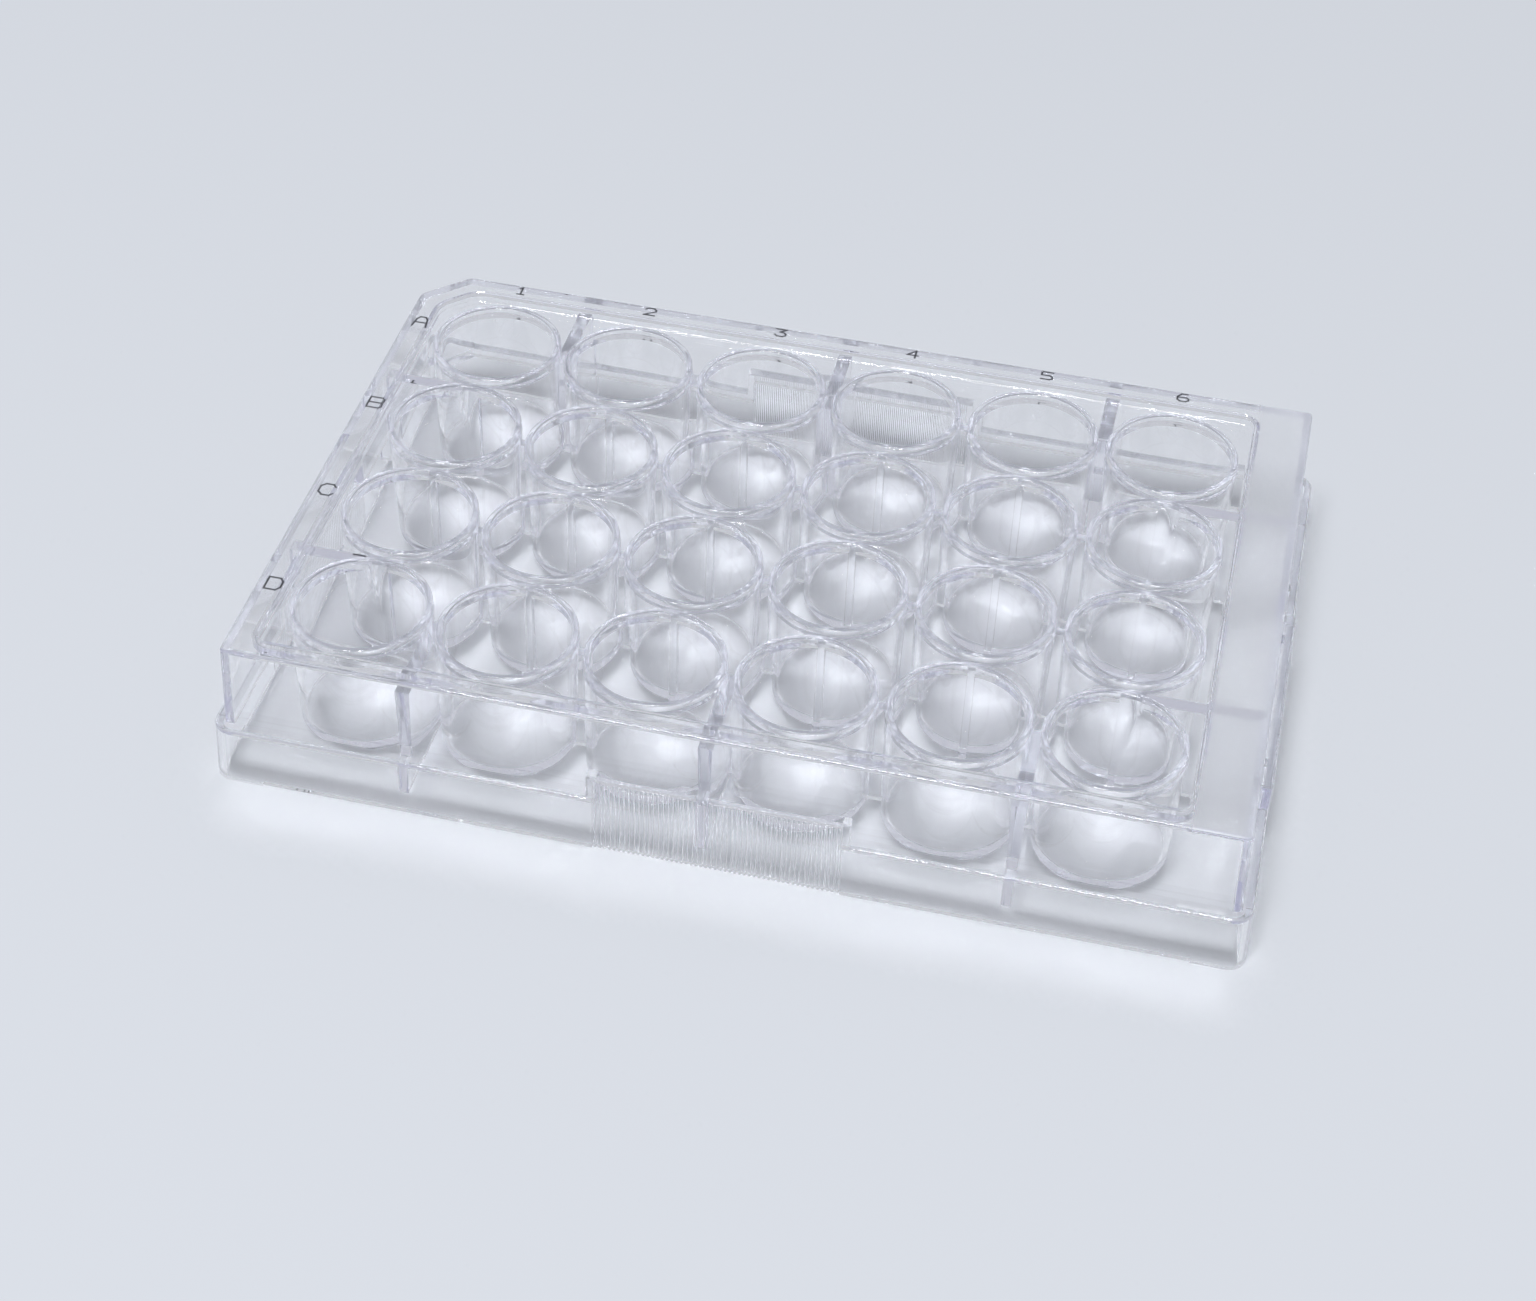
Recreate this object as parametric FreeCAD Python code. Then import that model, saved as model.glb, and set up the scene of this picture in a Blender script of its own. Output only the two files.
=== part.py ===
import FreeCAD, Part
import math, os

from FreeCAD import Vector

# A 24-well culture plate: one clear polystyrene moulding, open underneath.
# Origin: middle of the footprint on the surface that the plate stands on.
# X runs along the columns 1 to 6, Y from row D at the front to row A at the rear.

# --- footprint and heights -------------------------------------------------
LENGTH = 127.76          # standard microplate footprint, along X
WIDTH = 85.48            # standard microplate footprint, along Y
HEIGHT = 20.0            # top of the raised outer margin
LEDGE_Z = 8.1            # top of the skirt
SKIRT_CORNER = 2.4       # corner radius of the skirt
SKIRT_DRAFT = 0.3        # how far each skirt face leans in, base to ledge
WALL = 1.0               # wall, deck and ledge thickness

# --- upper body, above the ledge -------------------------------------------
BODY_LENGTH = 123.5      # at the top
BODY_WIDTH = 81.5        # at the top
BODY_FLARE_X = 0.5       # how far each end wall leans out, top to ledge
BODY_FLARE_Y = 0.15      # how far each long wall leans out, top to ledge
BODY_CORNER = 0.6        # radius of the upright corners
INNER_CORNER = 0.2       # the same corners seen from inside
KEY_CHAMFER = 5.5        # the cut corner beside well A1
TOP_ROUND = 0.3          # round-over along the top edge

# --- wells -----------------------------------------------------------------
COLUMNS = 6
ROWS = 4
PITCH = 18.56            # centre to centre, both ways
GRID_X = -2.0            # middle of the well grid, left of the plate's middle
WELL_TOP_R = 7.95        # inside radius at the rim
WELL_FLOOR_R = 7.7       # inside radius at the floor
WELL_FLOOR_Z = 4.0       # upper face of the well floor
WELL_UNDER_Z = 3.0       # lower face of the well floor
FLOOR_ROUND = 0.4        # fillet between the well wall and its floor
RIM_Z = 19.4             # top of the raised rim round each well
RIM_R = 8.7              # outside radius of that rim
RIM_ROUND = 0.15
OUTER_TOP_R = 8.8        # outside radius of the well just under the deck
OUTER_FOOT_R = 8.45      # outside radius of the well at its lower face

# --- sunken deck between the wells -----------------------------------------
DECK_Z = 18.45           # upper face of the sunken deck
DECK_MARGIN = 1.3        # gap from the outermost rims to the deck's edge
DECK_CORNER = 1.6        # corner radius of the sunken deck
DECK_KEY = 3.9           # how far the deck's rear left corner is cut
KEY_CORNER = 1.5         # radius at both ends of that cut
STEP_WALL = 0.75         # wall between the sunken deck and the outer margin
DECK_ROUND = 0.4         # fillet where the deck meets that wall, on top
STEP_ROUND = 0.7         # round along the wall's lower edge, underneath

# --- ribs and webs ---------------------------------------------------------
RIB_TOP = 1.8            # rib thickness just under the deck
RIB_FOOT = 1.15          # rib thickness at its lower edge
RIB_FOOT_Z = 3.0         # lower edge of the ribs
WEB_X = 1.2              # web between neighbours in a row
WEB_Y = 0.95             # web between neighbours in a column

# --- grip panels and feet --------------------------------------------------
GRIP_LENGTH = 32.0       # along the wall
GRIP_Z = 11.6            # top of the panel
GRIP_DEPTH = 4.0         # how far a panel's block reaches into the plate
GRIP_END = 0.7           # plain block at each end of the flutes
GRIP_STRIP = 0.3         # plain strip above the flutes
FLUTE_SINK = 0.05        # how far the ground of the flutes lies behind the face
SIDE_GRIP_Y = -7.5       # middle of the panels on the two short sides
FLUTE_PITCH = 0.6
FLUTE_WIDTH = 0.38       # width of one upright flute
FLUTE_HEIGHT = 0.19      # how far a flute stands proud
FOOT_LIFT = 0.25         # the base rim is raised this much between the feet
FOOT_LENGTH = 6.5        # length of each corner foot along either side
INNER_LOW_Z = 2.0        # the upper hollow starts inside the skirt's, at this height

DECK_HALF_X = (COLUMNS - 1) * PITCH / 2 + RIM_R + DECK_MARGIN
DECK_HALF_Y = (ROWS - 1) * PITCH / 2 + RIM_R + DECK_MARGIN


def outline(points, radii, z):
    """Closed polygon at height z with each corner rounded by its own radius."""
    corners = []
    count = len(points)
    for i in range(count):
        here = Vector(points[i][0], points[i][1], z)
        before = Vector(points[i - 1][0], points[i - 1][1], z)
        after = Vector(points[(i + 1) % count][0], points[(i + 1) % count][1], z)
        to_before = (before - here).normalize()
        to_after = (after - here).normalize()
        half = to_before.getAngle(to_after) / 2
        reach = radii[i] / math.tan(half)
        bisector = (to_before + to_after).normalize()
        centre = here + bisector * (radii[i] / math.sin(half))
        middle = centre - bisector * radii[i]
        corners.append((here + to_before * reach, middle, here + to_after * reach))
    edges = []
    for i in range(count):
        start, middle, end = corners[i]
        edges.append(Part.Arc(start, middle, end).toShape())
        edges.append(Part.LineSegment(end, corners[(i + 1) % count][0]).toShape())
    return Part.Wire(edges)


def rectangle(half_x, half_y, middle_x=0.0):
    """Corners of a rectangle, counter-clockwise from front left."""
    left = middle_x - half_x
    right = middle_x + half_x
    return [(left, -half_y), (right, -half_y), (right, half_y), (left, half_y)]


def keyed_rectangle(half_x, half_y, chamfer, middle_x=0.0):
    """The same rectangle with its rear left corner cut off."""
    points = rectangle(half_x, half_y, middle_x)
    left = middle_x - half_x
    return points[:3] + [(left + chamfer, half_y), (left, half_y - chamfer)]


def drafted(points_low, points_high, radii, z_low, z_high):
    """Solid between one rounded outline and another above it."""
    low = outline(points_low, radii, z_low)
    high = outline(points_high, radii, z_high)
    return Part.makeLoft([low, high], True, True)


def prism(points, radii, z_low, z_high):
    face = Part.Face(outline(points, radii, z_low))
    return face.extrude(Vector(0, 0, z_high - z_low))


def box(x0, x1, y0, y1, z0, z1):
    return Part.makeBox(x1 - x0, y1 - y0, z1 - z0, Vector(x0, y0, z0))


def revolved(profile):
    """Solid of revolution about Z from (radius, height) points."""
    points = [Vector(r, 0, z) for r, z in profile]
    face = Part.Face(Part.makePolygon(points + [points[0]]))
    return face.revolve(Vector(0, 0, 0), Vector(0, 0, 1), 360)


def mirrored_y(shape):
    return shape.mirror(Vector(0, 0, 0), Vector(0, 1, 0))


def mirrored_x(shape):
    return shape.mirror(Vector(0, 0, 0), Vector(1, 0, 0))


# --- outer form ------------------------------------------------------------
def skirt(inset, z_low, z_high):
    """Skirt block, inset from the footprint all round, leaning in with height."""
    corner = SKIRT_CORNER - inset
    lean_low = SKIRT_DRAFT * z_low / LEDGE_Z + inset
    lean_high = SKIRT_DRAFT * z_high / LEDGE_Z + inset
    low = rectangle(LENGTH / 2 - lean_low, WIDTH / 2 - lean_low)
    high = rectangle(LENGTH / 2 - lean_high, WIDTH / 2 - lean_high)
    return drafted(low, high, [corner] * 4, z_low, z_high)


def body(inset, z_low, z_high):
    """Upper body block, leaning out from the top down, one corner cut off."""
    def corners(z):
        down = (HEIGHT - z) / (HEIGHT - LEDGE_Z)
        half_x = BODY_LENGTH / 2 + BODY_FLARE_X * down - inset
        half_y = BODY_WIDTH / 2 + BODY_FLARE_Y * down - inset
        cut = KEY_CHAMFER - inset * (2 - math.sqrt(2))
        return keyed_rectangle(half_x, half_y, cut)
    radii = [max(BODY_CORNER - inset, INNER_CORNER)] * 5
    return drafted(corners(z_low), corners(z_high), radii, z_low, z_high)


def grip(inset, z_low, z_high):
    """The four places where the skirt rises higher: two long sides, two ends."""
    half = GRIP_LENGTH / 2 - inset
    face_x = LENGTH / 2 - SKIRT_DRAFT - inset
    face_y = WIDTH / 2 - SKIRT_DRAFT - inset
    front = box(-half, half, -face_y, -face_y + GRIP_DEPTH, z_low, z_high)
    right = box(face_x - GRIP_DEPTH, face_x, SIDE_GRIP_Y - half, SIDE_GRIP_Y + half,
                z_low, z_high)
    return [front, mirrored_y(front), right, mirrored_x(right)]


def rounded_at(shape, height, radius):
    """Round over the edges that lie at one height."""
    edges = [e for e in shape.Edges
             if abs(e.BoundBox.ZMin - height) < 1e-4 and abs(e.BoundBox.ZMax - height) < 1e-4]
    return shape.makeFillet(radius, edges)


def outer_form():
    lower = rounded_at(skirt(0, 0, LEDGE_Z), LEDGE_Z, TOP_ROUND)
    upper = rounded_at(body(0, LEDGE_Z - WALL, HEIGHT), HEIGHT, TOP_ROUND)
    return lower.fuse([upper] + grip(0, LEDGE_Z - WALL, GRIP_Z))


def inner_form(inset):
    """The same form with all its faces moved in by so much."""
    lower = skirt(inset, 0, LEDGE_Z - inset)
    upper = body(inset, INNER_LOW_Z, HEIGHT - inset)
    return lower.fuse([upper] + grip(inset, INNER_LOW_Z, GRIP_Z - inset))


def hollow_form():
    """The hollow underneath, before ribs and wells are put back into it."""
    under_deck = prism(deck_outline(STEP_WALL), deck_radii(STEP_WALL),
                       DECK_Z - WALL, HEIGHT)
    return inner_form(WALL).cut(rounded_at(under_deck, DECK_Z - WALL, STEP_ROUND))


# --- sunken deck -----------------------------------------------------------
def deck_outline(outset):
    cut = DECK_KEY + outset * (2 - math.sqrt(2))
    return keyed_rectangle(DECK_HALF_X + outset, DECK_HALF_Y + outset, cut, GRID_X)


def deck_radii(outset):
    corner = DECK_CORNER + outset
    return [corner] * 3 + [KEY_CORNER] * 2


# --- wells -----------------------------------------------------------------
def well_centres():
    for row in range(ROWS):
        for column in range(COLUMNS):
            x = GRID_X + (column - (COLUMNS - 1) / 2) * PITCH
            y = (row - (ROWS - 1) / 2) * PITCH
            yield Vector(x, y, 0)


def well_outside():
    return revolved([
        (0, WELL_UNDER_Z), (OUTER_FOOT_R, WELL_UNDER_Z), (OUTER_TOP_R, DECK_Z - WALL / 2),
        (RIM_R, DECK_Z), (RIM_R, RIM_Z - RIM_ROUND), (RIM_R - RIM_ROUND, RIM_Z), (0, RIM_Z)])


def well_inside():
    wall_r = WELL_FLOOR_R
    above = HEIGHT + WALL
    bend = (1 - math.sqrt(0.5)) * FLOOR_ROUND
    return revolved([
        (0, WELL_FLOOR_Z), (wall_r - FLOOR_ROUND, WELL_FLOOR_Z),
        (wall_r - bend, WELL_FLOOR_Z + bend),
        (wall_r, WELL_FLOOR_Z + FLOOR_ROUND), (WELL_TOP_R, RIM_Z - RIM_ROUND),
        (WELL_TOP_R + RIM_ROUND, RIM_Z), (WELL_TOP_R + RIM_ROUND, above), (0, above)])


# --- ribs and webs ---------------------------------------------------------
def upright(x0, y0, x1, y1, top, foot, foot_z):
    """A wall standing between two plan points, thinner at its lower edge."""
    along = Vector(x1 - x0, y1 - y0, 0)
    length = along.Length
    top_z = DECK_Z - WALL / 2
    section = [Vector(0, -foot / 2, foot_z), Vector(0, foot / 2, foot_z),
               Vector(0, top / 2, top_z), Vector(0, -top / 2, top_z)]
    solid = Part.Face(Part.makePolygon(section + [section[0]])).extrude(Vector(length, 0, 0))
    solid.rotate(Vector(0, 0, 0), Vector(0, 0, 1), math.degrees(math.atan2(along.y, along.x)))
    solid.translate(Vector(x0, y0, 0))
    return solid


def ribs():
    """Ribs from the outer wall to the gap between two wells."""
    found = []
    edge_row = (ROWS - 1) / 2 * PITCH
    edge_column = (COLUMNS - 1) / 2 * PITCH
    for step in (-2, 0, 2):
        x = GRID_X + step * PITCH
        for side in (-1, 1):
            found.append(upright(x, side * WIDTH / 2, x, side * edge_row,
                                 RIB_TOP, RIB_FOOT, RIB_FOOT_Z))
    for y in (-PITCH, PITCH):
        for side in (-1, 1):
            found.append(upright(side * LENGTH / 2, y, GRID_X + side * edge_column, y,
                                 RIB_TOP, RIB_FOOT, RIB_FOOT_Z))
    return found


def webs():
    """Webs that join each well to its neighbours."""
    found = []
    for centre in well_centres():
        if centre.x < GRID_X + (COLUMNS - 1) / 2 * PITCH - 1:
            y = centre.y
            found.append(upright(centre.x + WELL_FLOOR_R, y, centre.x + PITCH - WELL_FLOOR_R, y,
                                 WEB_X, WEB_X, WELL_UNDER_Z))
        if centre.y < (ROWS - 1) / 2 * PITCH - 1:
            x = centre.x
            found.append(upright(x, centre.y + WELL_FLOOR_R, x, centre.y + PITCH - WELL_FLOOR_R,
                                 WEB_Y, WEB_Y, WELL_UNDER_Z))
    return found


# --- grip flutes -----------------------------------------------------------
def flutes(length):
    """A comb of upright half-round flutes along X, its back on y = 0."""
    count = int((length - 2 * GRIP_END) / FLUTE_PITCH)
    start = -(count - 1) / 2 * FLUTE_PITCH
    half = FLUTE_WIDTH / 2
    left = -length / 2 + GRIP_END
    edges = []
    last = Vector(left, 0, 0)
    for i in range(count):
        x = start + i * FLUTE_PITCH
        foot = Vector(x - half, 0, 0)
        edges.append(Part.LineSegment(last, foot).toShape())
        last = Vector(x + half, 0, 0)
        edges.append(Part.Arc(foot, Vector(x, -FLUTE_HEIGHT, 0), last).toShape())
    back = WALL / 2
    for point in (Vector(-left, 0, 0), Vector(-left, back, 0), Vector(left, back, 0),
                  Vector(left, 0, 0)):
        edges.append(Part.LineSegment(last, point).toShape())
        last = point
    face = Part.Face(Part.Wire(edges))
    height = GRIP_Z - GRIP_STRIP - FOOT_LIFT
    return face.extrude(Vector(0, 0, height)).translated(Vector(0, 0, FOOT_LIFT))


def flute_sets():
    """The space cut out of each grip panel's face, and the comb that goes into it."""
    half = GRIP_LENGTH / 2 - GRIP_END
    ground = SKIRT_DRAFT + FLUTE_SINK
    cut = box(-half, half, -GRIP_DEPTH, 0, -WALL, GRIP_Z - GRIP_STRIP)
    comb = flutes(GRIP_LENGTH)
    places = [(0, Vector(0, -WIDTH / 2 + ground, 0)), (180, Vector(0, WIDTH / 2 - ground, 0)),
              (90, Vector(LENGTH / 2 - ground, SIDE_GRIP_Y, 0)),
              (-90, Vector(-LENGTH / 2 + ground, SIDE_GRIP_Y, 0))]
    cuts = []
    combs = []
    for angle, place in places:
        for shape, into in ((cut, cuts), (comb, combs)):
            copy = shape.copy()
            copy.rotate(Vector(0, 0, 0), Vector(0, 0, 1), angle)
            copy.translate(place)
            into.append(copy)
    return cuts, combs


# --- feet ------------------------------------------------------------------
def rim_relief():
    """The base rim stands clear of the table between the corner feet."""
    half_x = LENGTH / 2 - FOOT_LENGTH
    half_y = WIDTH / 2 - FOOT_LENGTH
    along = box(-half_x, half_x, -WIDTH, WIDTH, -WALL, FOOT_LIFT)
    across = box(-LENGTH, LENGTH, -half_y, half_y, -WALL, FOOT_LIFT)
    return [along, across]


# --- assembly --------------------------------------------------------------
def plate():
    cuts, combs = flute_sets()
    shell = outer_form().cut(hollow_form())
    recess = prism(deck_outline(0), deck_radii(0), DECK_Z, HEIGHT + WALL)
    shell = shell.cut([rounded_at(recess, DECK_Z, DECK_ROUND)] + cuts)
    within = inner_form(WALL / 2)
    stiffeners = [wall.common(within) for wall in ribs() + webs()]
    wells = [well_outside().translated(c) for c in well_centres()]
    solid = shell.fuse(stiffeners + wells + combs)
    hollows = [well_inside().translated(c) for c in well_centres()]
    solid = solid.cut(hollows + rim_relief())
    return solid.removeSplitter()


os.makedirs("parts", exist_ok=True)
shape = plate()
print("solids", len(shape.Solids), "valid", shape.isValid(), "volume", round(shape.Volume, 1))
print("box", [round(v, 3) for v in (shape.BoundBox.XLength, shape.BoundBox.YLength,
                                    shape.BoundBox.ZLength)])
shape.exportStep("parts/well_plate.step")
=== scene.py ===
# %% [markdown]
# # A clear 24-well culture plate
# The real plate is one injection moulding in clear polystyrene: a skirt to stand on, a
# raised body with a sunken deck, 24 cups hanging from that deck, and thin ribs that stiffen
# it underneath. Nothing on it moves. What the eye sees is therefore only shape, glass-like
# refraction and soft light, so the mesh has to be the real hollow moulding, wall by wall.

import math

import bmesh
import bpy
from mathutils import Matrix, Vector


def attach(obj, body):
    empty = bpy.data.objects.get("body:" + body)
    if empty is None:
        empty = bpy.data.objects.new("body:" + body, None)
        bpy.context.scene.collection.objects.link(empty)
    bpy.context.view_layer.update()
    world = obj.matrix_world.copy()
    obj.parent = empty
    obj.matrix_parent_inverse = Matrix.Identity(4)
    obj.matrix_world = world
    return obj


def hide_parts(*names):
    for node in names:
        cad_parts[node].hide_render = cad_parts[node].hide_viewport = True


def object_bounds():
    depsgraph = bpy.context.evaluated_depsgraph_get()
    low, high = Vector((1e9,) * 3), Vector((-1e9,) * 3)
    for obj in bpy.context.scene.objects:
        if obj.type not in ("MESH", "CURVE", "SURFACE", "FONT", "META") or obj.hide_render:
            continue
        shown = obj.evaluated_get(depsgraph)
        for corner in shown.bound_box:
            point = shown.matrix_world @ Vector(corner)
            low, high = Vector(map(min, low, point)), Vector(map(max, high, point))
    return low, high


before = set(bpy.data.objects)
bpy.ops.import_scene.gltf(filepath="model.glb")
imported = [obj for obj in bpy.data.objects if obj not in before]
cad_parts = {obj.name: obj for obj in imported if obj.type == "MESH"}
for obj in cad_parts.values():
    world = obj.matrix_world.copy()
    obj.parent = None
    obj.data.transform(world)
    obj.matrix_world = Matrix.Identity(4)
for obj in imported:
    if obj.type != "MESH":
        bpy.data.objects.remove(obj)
cad_low, cad_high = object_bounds()
LENGTH, WIDTH, HEIGHT = cad_high - cad_low
MM = 0.001                  # a millimetre in Blender's metres
print("frame box, mm:", [round(size / MM, 2) for size in (LENGTH, WIDTH, HEIGHT)])

# %% [markdown]
# ## Sizes
# A plate like this is drawn in millimetres, so the values below are millimetres times `MM`,
# which makes them Blender's metres. The overall box comes from the parts in model.glb. The well
# grid is square and sits a little left of the middle, which leaves a wide label margin on the right.

# %% Driving sizes
WALL = 1.0 * MM             # outer wall, deck and ledge
LEDGE_Z = 8.1 * MM          # top of the skirt
SKIRT_CORNER = 2.4 * MM
SKIRT_DRAFT = 0.3 * MM      # how far the skirt leans in, base to ledge
BODY_LENGTH = 123.5 * MM    # upper body, at the top
BODY_WIDTH = 81.5 * MM
BODY_FLARE = Vector((0.5, 0.15)) * MM       # how far the end and long walls lean out, top to ledge
BODY_CORNER = 0.6 * MM
INNER_CORNER = 0.2 * MM     # the smallest corner the hollow keeps
KEY_CHAMFER = 5.5 * MM      # the cut corner beside well A1
TOP_ROUND = 0.3 * MM
COLUMNS = 6
ROWS = 4
PITCH = 18.56 * MM          # well to well, both ways
GRID_X = -2.0 * MM          # middle of the well grid
well_columns = [GRID_X + (i - (COLUMNS - 1) / 2) * PITCH for i in range(COLUMNS)]
well_rows = [((ROWS - 1) / 2 - i) * PITCH for i in range(ROWS)]
print("columns, mm:", [round(x / MM, 2) for x in well_columns])
print("rows A to D, mm:", [round(y / MM, 2) for y in well_rows])

# %% [markdown]
# ## A few helpers
# An operator acts on whatever is selected, so each step first selects what it means. These
# helpers pick an object, or the edges, faces or vertices of one that pass a test on their
# place, and combine two solids with a boolean that is then applied.

# %% Selecting, adding and combining
TINY = 0.01 * MM            # closer than this counts as the same place
STEEP = 0.7                 # an edge runs up if this much of its length is height
FACING_UP = 0.9             # a face looks up if its normal's Z is over this


def only(obj):
    """Select this object alone and make it active."""
    bpy.ops.object.select_all(action="DESELECT")
    obj.select_set(True)
    bpy.context.view_layer.objects.active = obj
    return obj


def pick(obj, kind, wanted):
    """Enter edit mode with only the wanted vertices, edges or faces selected."""
    only(obj)
    bpy.ops.object.mode_set(mode="EDIT")
    bpy.ops.mesh.select_mode(type=kind)
    bpy.ops.mesh.select_all(action="DESELECT")
    mesh = bmesh.from_edit_mesh(obj.data)
    chosen = {"VERT": mesh.verts, "EDGE": mesh.edges, "FACE": mesh.faces}[kind]
    for item in chosen:
        if wanted(item):
            item.select_set(True)
    mesh.select_flush_mode()
    bmesh.update_edit_mesh(obj.data)


def done():
    bpy.ops.object.mode_set(mode="OBJECT")


def level(z):
    """A test for things that lie wholly at height z."""
    return lambda item: all(abs(v.co.z - z) < TINY for v in getattr(item, "verts", [item]))


def upright(edge):
    """A test for edges that run up rather than across."""
    along = edge.verts[1].co - edge.verts[0].co
    return abs(along.z) > STEEP * along.length


def block(name, low, high):
    """A cube primitive that fills the box between two corners."""
    low, high = Vector(low), Vector(high)
    bpy.ops.object.select_all(action="DESELECT")
    bpy.ops.mesh.primitive_cube_add(size=1, location=(low + high) / 2)
    obj = bpy.context.object
    obj.name = name
    obj.scale = high - low
    bpy.ops.object.transform_apply(location=True, rotation=True, scale=True)
    return obj


def bevel(obj, wanted, width, steps):
    """Round the wanted edges."""
    pick(obj, "EDGE", wanted)
    bpy.ops.mesh.bevel(offset=width, segments=steps, affect="EDGES", clamp_overlap=False)
    done()


def combine(target, operation, *tools):
    """Union, difference or intersection of the target with each tool, which is used up."""
    for tool in tools:
        only(target)
        step = target.modifiers.new(operation, "BOOLEAN")
        step.operation = operation
        step.solver = "MANIFOLD"
        step.object = tool
        bpy.ops.object.modifier_apply(modifier=step.name)
        bpy.data.objects.remove(tool)
    return target


def about_z(turn):
    """The matrix of a turn about Z."""
    return Matrix.Rotation(turn, 4, "Z")


def copy(obj, move=(0, 0, 0), turn=0.0):
    """A copy with its own mesh, turned about Z and then moved."""
    new = obj.copy()
    new.data = obj.data.copy()
    bpy.context.collection.objects.link(new)
    new.data.transform(Matrix.Translation(move) @ about_z(turn))
    return new


def copy_once(obj, move, turn=0.0):
    """Move an object for good: its copy is kept and the first one goes."""
    new = copy(obj, move, turn)
    bpy.data.objects.remove(obj)
    return new


def joined(objects):
    """One object from several that don't touch."""
    bpy.ops.object.select_all(action="DESELECT")
    for obj in objects:
        obj.select_set(True)
    bpy.context.view_layer.objects.active = objects[0]
    bpy.ops.object.join()
    return objects[0]


# %% [markdown]
# ## Skirt and body
# The outer form is two drafted blocks, one on the other, with four places where the skirt
# rises higher as a grip. Each block is a cube whose top or bottom is scaled to make the
# draft, whose upright edges are rounded, and whose top edge gets the small round that a
# mould has. The hollow inside is the same form one wall smaller, so each block is made by a
# function that takes an inset.

# %% Blocks of the outer form
CORNER_STEPS = 10
EDGE_STEPS = 4
GRIP_LENGTH = 32.0 * MM
GRIP_Z = 11.6 * MM          # top of a grip
GRIP_DEPTH = 4.0 * MM       # how far its block reaches into the plate
SIDE_GRIP_Y = -7.5 * MM     # middle of the grips on the two short sides
SIDE_GRIP_OUT = (LENGTH - WIDTH) / 2        # how much further out the short sides are
INNER_LOW_Z = 2.0 * MM      # the upper hollow starts inside the skirt's, at this height


def lean(obj, z, half, by):
    """Move the walls at height z out by so much, which gives them their draft."""
    pick(obj, "VERT", level(z))
    wider = ((half[0] + by[0]) / half[0], (half[1] + by[1]) / half[1], 1)
    bpy.ops.transform.resize(value=wider, center_override=(0, 0, 0))
    done()


def skirt_block(inset, z_low, z_high):
    draft = SKIRT_DRAFT / LEDGE_Z
    half = (LENGTH / 2 - inset - draft * z_low, WIDTH / 2 - inset - draft * z_low)
    skirt = block("skirt", (-half[0], -half[1], z_low), (half[0], half[1], z_high))
    inwards = -draft * (z_high - z_low)
    lean(skirt, z_high, half, (inwards, inwards))
    bevel(skirt, upright, SKIRT_CORNER - inset, CORNER_STEPS)
    return skirt


def body_block(inset, z_low, z_high):
    flare = BODY_FLARE / (HEIGHT - LEDGE_Z)
    half = (BODY_LENGTH / 2 - inset + flare.x * (HEIGHT - z_high),
            BODY_WIDTH / 2 - inset + flare.y * (HEIGHT - z_high))
    body = block("body", (-half[0], -half[1], z_low), (half[0], half[1], z_high))
    cut = KEY_CHAMFER - inset * (2 - math.sqrt(2))
    bevel(body, lambda e: upright(e) and e.verts[0].co.x < 0 < e.verts[0].co.y, cut, 1)
    lean(body, z_low, half, flare * (z_high - z_low))
    bevel(body, upright, max(BODY_CORNER - inset, INNER_CORNER), EDGE_STEPS)
    return body


def grip_blocks(inset, z_low, z_high):
    """The front grip, and its copies behind and on the two short sides."""
    half = GRIP_LENGTH / 2 - inset
    face = WIDTH / 2 - SKIRT_DRAFT - inset
    front = block("grip", (-half, -face, z_low), (half, -face + GRIP_DEPTH, z_high))
    right = copy(front, (SIDE_GRIP_OUT, SIDE_GRIP_Y, 0), math.pi / 2)
    left = copy(front, (-SIDE_GRIP_OUT, SIDE_GRIP_Y, 0), -math.pi / 2)
    return [front, copy(front, turn=math.pi), right, left]


# %% [markdown]
# ## One form outside, one inside
# A mould has two halves: one shapes the outside and the other the hollow. The same blocks
# give both. The inner form is kept apart for now, because the deck is taken out of it first.

# %% The outer form, and the hollow inside it
def outer_form():
    skirt = skirt_block(0, 0, LEDGE_Z)
    bevel(skirt, level(LEDGE_Z), TOP_ROUND, EDGE_STEPS)
    body = body_block(0, LEDGE_Z - WALL, HEIGHT)
    bevel(body, level(HEIGHT), TOP_ROUND, EDGE_STEPS)
    grips = grip_blocks(0, LEDGE_Z - WALL, GRIP_Z)
    return combine(skirt, "UNION", body, *grips)


def inner_form(inset):
    """The same form with every face moved in by so much."""
    form = skirt_block(inset, 0, LEDGE_Z - inset)
    grips = grip_blocks(inset, INNER_LOW_Z, GRIP_Z - inset)
    return combine(form, "UNION", body_block(inset, INNER_LOW_Z, HEIGHT - inset), *grips)


plate = outer_form()
plate.name = "plate"
hollow = inner_form(WALL)
print("outer form faces:", len(plate.data.polygons))

# %% [markdown]
# ## Sunken deck
# The deck between the wells lies lower than the margin round it. The same rounded, keyed
# outline is used twice: once taken out of the hollow a wall wider, which leaves the deck
# and the step round it standing, and once cut down into the top.

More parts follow.
